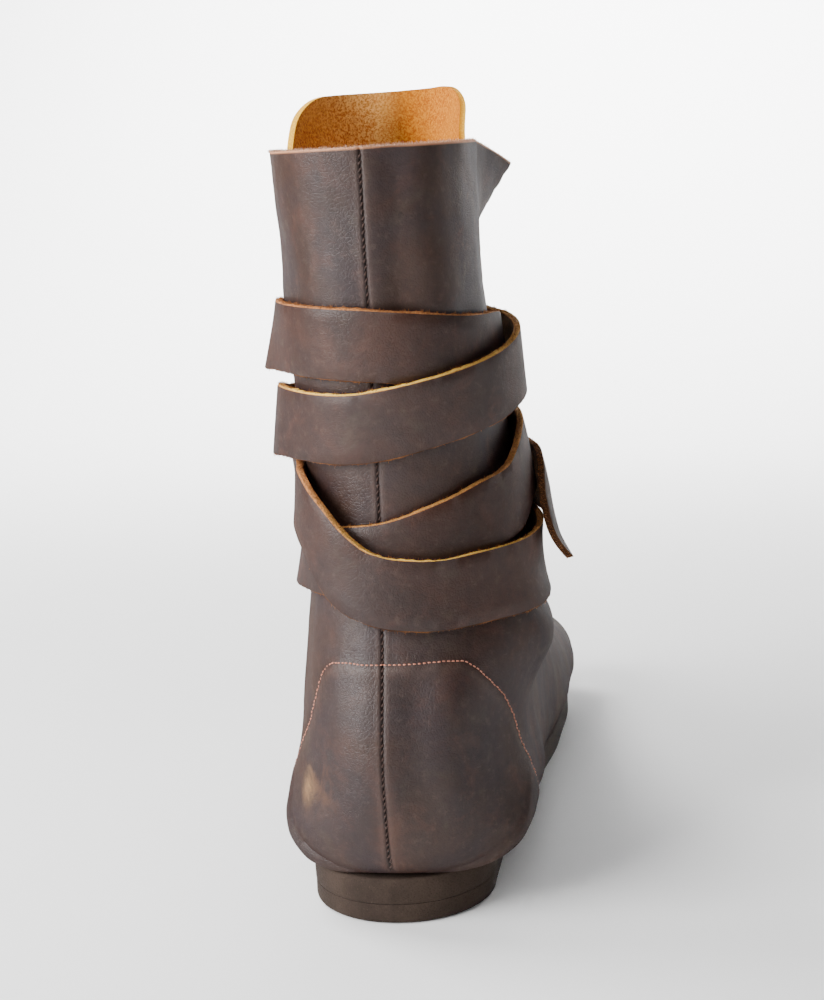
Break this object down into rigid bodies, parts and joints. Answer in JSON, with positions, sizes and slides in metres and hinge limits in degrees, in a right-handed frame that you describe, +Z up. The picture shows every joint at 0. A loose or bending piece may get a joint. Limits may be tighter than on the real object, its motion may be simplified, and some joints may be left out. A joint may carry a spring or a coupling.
{
  "type": "viking boot",
  "caption": "Left boot with a soft leather upper, wide suede tongue and a long strap wound round ankle and shaft, on a flat rubber sole with a low heel.",
  "frame": {"origin": "middle of the heel's tread, on the floor", "axes": "+Y to the toe, +X to the inner side of the foot, +Z up"},
  "size_m": [0.1208, 0.2999, 0.2956],
  "materials": {
    "upper_leather": "oiled dark brown leather, satin",
    "strap_leather": "oiled dark brown leather with raw tan edges",
    "tongue_suede": "tan suede side showing",
    "insole_board": "matte",
    "sole_rubber": "matte speckled dark grey-brown"
  },
  "bodies": {
    "root": {"outsole": "sole_rubber", "heel_lift": "sole_rubber", "insole": "insole_board", "upper": "upper_leather", "tongue": "tongue_suede", "strap": "strap_leather"}
  },
  "joints": []
}
